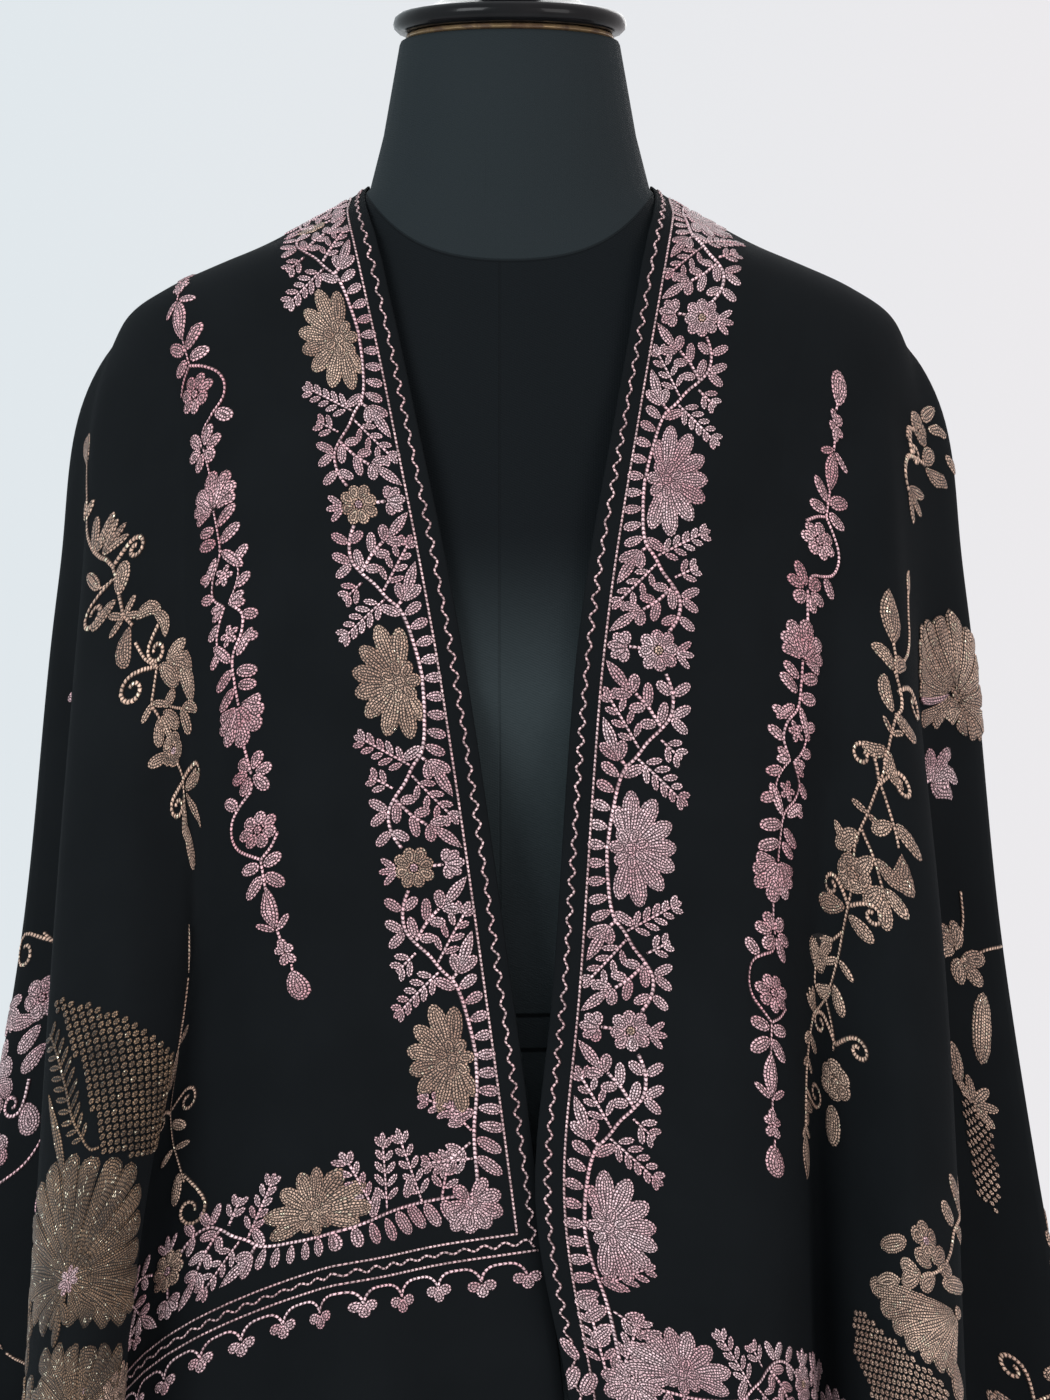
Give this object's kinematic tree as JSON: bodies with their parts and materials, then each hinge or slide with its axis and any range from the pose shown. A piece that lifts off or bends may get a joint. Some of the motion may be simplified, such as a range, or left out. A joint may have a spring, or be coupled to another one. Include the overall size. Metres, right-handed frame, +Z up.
{
  "type": "embroidered stole on a dress form",
  "caption": "Black embroidered stole worn open over a limbless charcoal dress form on a round-based stand.",
  "frame": {"origin": "middle of the stand base's underside", "axes": "+Z up; the form faces -Y, and +X is on the viewer's right from the front"},
  "size_m": [0.6777, 0.34, 1.5453],
  "materials": {
    "stole_cloth": "fine black weave with chain-stitch embroidery in rose and gold thread",
    "form_cover": "matt charcoal twill",
    "neck_ring": "polished",
    "neck_cap": "gloss black lacquer",
    "form_plate": "black lacquer",
    "stand": "satin black"
  },
  "bodies": {
    "root": {"stole_front_left": "stole_cloth", "stole_back": "stole_cloth", "stole_front_right": "stole_cloth", "form_body": "form_cover", "neck_ring": "neck_ring", "neck_cap": "neck_cap", "form_plate": "form_plate", "stand_pole": "stand", "stand_collar": "stand", "stand_base": "stand"}
  },
  "joints": []
}
